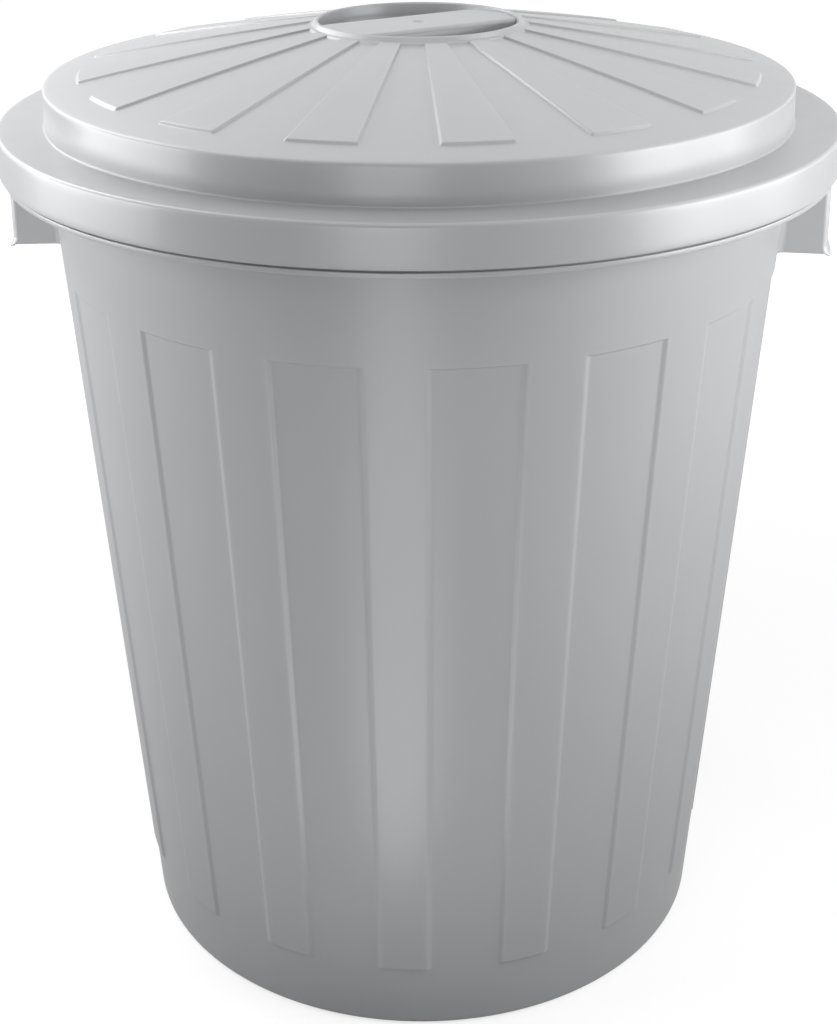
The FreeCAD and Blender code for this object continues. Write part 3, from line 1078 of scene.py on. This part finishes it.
@dataclass(frozen=True)
class Studio:
    """White surround, pale floor and soft boxes. Lengths are metres.

    Attributes:
        ambient: Strength of the surround on dull surfaces.
        floor_half: Half of the floor's width.
        floor_drop: Depth of the floor under the bin's foot.
        floor_lift: Light that the floor adds for the camera, near the bin.
        floor_shine: Share of that light in reflections.
        floor_clear: Distances from the axis between which that light grows to white.
    """

    ambient: float = 0.12
    floor_half: float = 8.0
    floor_drop: float = 0.0002
    floor_tone: Colour = (0.3, 0.3, 0.3, 1.0)
    floor_roughness: float = 0.9
    floor_lift: float = 0.72
    floor_shine: float = 0.45
    floor_clear: tuple[float, float] = (0.35, 1.3)
    boxes: tuple[SoftBox, ...] = (
        SoftBox("box_left", -77.0, 10.0, 0.62, 0.50, 0.34, 3.0),
        SoftBox("box_right", 77.0, 10.0, 0.62, 0.50, 0.34, 2.5),
        SoftBox("box_near_right", 60.0, 8.0, 0.66, 0.30, 0.34, 1.25),
        SoftBox("box_high", -120.0, 35.0, 0.75, 0.40, 0.40, 2.3),
        SoftBox("box_over", 0.0, 88.0, 1.5, 1.4, 1.4, 4.8),
        SoftBox("box_top_front", -5.0, 55.0, 1.2, 0.45, 0.45, 1.3),
        SoftBox("box_top_left", -95.0, 52.0, 0.9, 0.40, 0.40, 1.5),
        SoftBox("box_top_right", 95.0, 52.0, 0.9, 0.40, 0.40, 1.5),
        SoftBox("box_back", 180.0, 45.0, 1.5, 1.4, 0.8, 2.5),
        SoftBox("box_front", -5.0, 5.0, 1.3, 0.50, 0.30, 2.4, 0.24),
        SoftBox("strip_front", -3.0, 0.0, 0.95, 0.30, 1.30, 2.3, 0.01, Facing.UP),
        SoftBox("box_rear", -165.0, 0.0, 1.2, 0.50, 0.30, 1.6, 0.17),
    )

    def place(self) -> None:
        """Add the surround, the floor and the boxes."""
        self.surround()
        self.floor()
        for box in self.boxes:
            box.place()

    @staticmethod
    def seen(tree: NodeTree, share: float) -> NodeSocket:
        """Add a value: one for camera rays, a share for mirror and glass rays, none for the rest.

        Args:
            tree: Node tree to add it to.
            share: Value for mirror and glass rays.

        Returns:
            The value.
        """
        path = add_node(tree, "LightPath", {}).outputs
        total = path["Is Camera Ray"]
        for ray in ("Is Glossy Ray", "Is Transmission Ray"):
            part = add_node(tree, "Math", {0: path[ray], 1: share}, operation="MULTIPLY").outputs["Value"]
            total = add_node(tree, "Math", {0: total, 1: part}, operation="MAXIMUM").outputs["Value"]
        return total

    def surround(self) -> None:
        """White world: full strength where it is seen, ambient strength where it only lights."""
        world = bpy.data.worlds.new("white_surround")
        world.use_nodes = True
        bpy.context.scene.world = world
        tree = world.node_tree
        backdrop = tree.nodes["Background"]
        backdrop.inputs["Color"].default_value = WHITE
        seen = self.seen(tree, 1.0)
        level = add_node(tree, "MapRange", {"Value": seen, "To Min": self.ambient, "To Max": 1.0})
        tree.links.new(level.outputs["Result"], backdrop.inputs["Strength"])

    def floor(self) -> None:
        """Pale floor at the standing height, lifted to white where it is seen."""
        half = self.floor_half
        corners = np.array([(-half, -half), (half, -half), (half, half), (-half, half)])
        points = np.c_[corners, np.full(len(corners), -self.floor_drop)]
        mesh = bpy.data.meshes.new("floor")
        mesh.from_pydata(points.tolist(), [], [[0, 1, 2, 3]])
        floor = bpy.data.objects.new("floor", mesh)
        bpy.context.scene.collection.objects.link(floor)
        material = bpy.data.materials.new("pale_floor")
        material.use_nodes = True
        tree = material.node_tree
        shader = tree.nodes["Principled BSDF"]
        shader.inputs["Base Color"].default_value = self.floor_tone
        shader.inputs["Roughness"].default_value = self.floor_roughness
        shader.inputs["Specular IOR Level"].default_value = 0.0
        shader.inputs["Emission Color"].default_value = WHITE
        place = add_node(tree, "TexCoord", {}).outputs["Object"]
        away = add_node(tree, "VectorMath", {0: place}, operation="LENGTH").outputs["Value"]
        near, far = self.floor_clear
        spans = {"From Min": near, "From Max": far, "To Min": self.floor_lift, "To Max": 1.0}
        lift = add_node(tree, "MapRange", {"Value": away, **spans}, interpolation_type="SMOOTHSTEP")
        seen = self.seen(tree, self.floor_shine)
        level = add_node(tree, "Math", {0: seen, 1: lift.outputs["Result"]}, operation="MULTIPLY")
        tree.links.new(level.outputs["Value"], shader.inputs["Emission Strength"])
        mesh.materials.append(material)


BUCKET_PLASTIC = MouldedPlastic(
    name="bucket_grey",
    tone=(0.360, 0.364, 0.374, 1.0),
    cloud=(0.390, 0.394, 0.404, 1.0),
    worn=(0.425, 0.429, 0.438, 1.0),
)
LID_PLASTIC = MouldedPlastic(
    name="lid_grey",
    tone=(0.360, 0.364, 0.373, 1.0),
    cloud=(0.390, 0.394, 0.403, 1.0),
    worn=(0.425, 0.429, 0.437, 1.0),
    streak_scale=(60.0, 60.0),
)


def main() -> None:
    """Build the bucket, the lid and the studio in order, at the heights that the solids give."""
    logging.basicConfig(level=logging.INFO, format="%(name)s: %(message)s")
    bpy.context.scene.view_settings.view_transform = "Standard"
    bucket_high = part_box("bucket")[1]
    lid_low, lid_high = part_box("lid")
    Bucket(rim_height=bucket_high.z / MM).build(BUCKET_PLASTIC.material())
    lid = Lid(skirt_radius=lid_high.x / MM, skirt_foot=lid_low.z / MM, lip_top=lid_high.z / MM)
    lid.build(LID_PLASTIC.material())
    Studio().place()
    PhotoCamera().place()


if __name__ == "__main__":
    main()
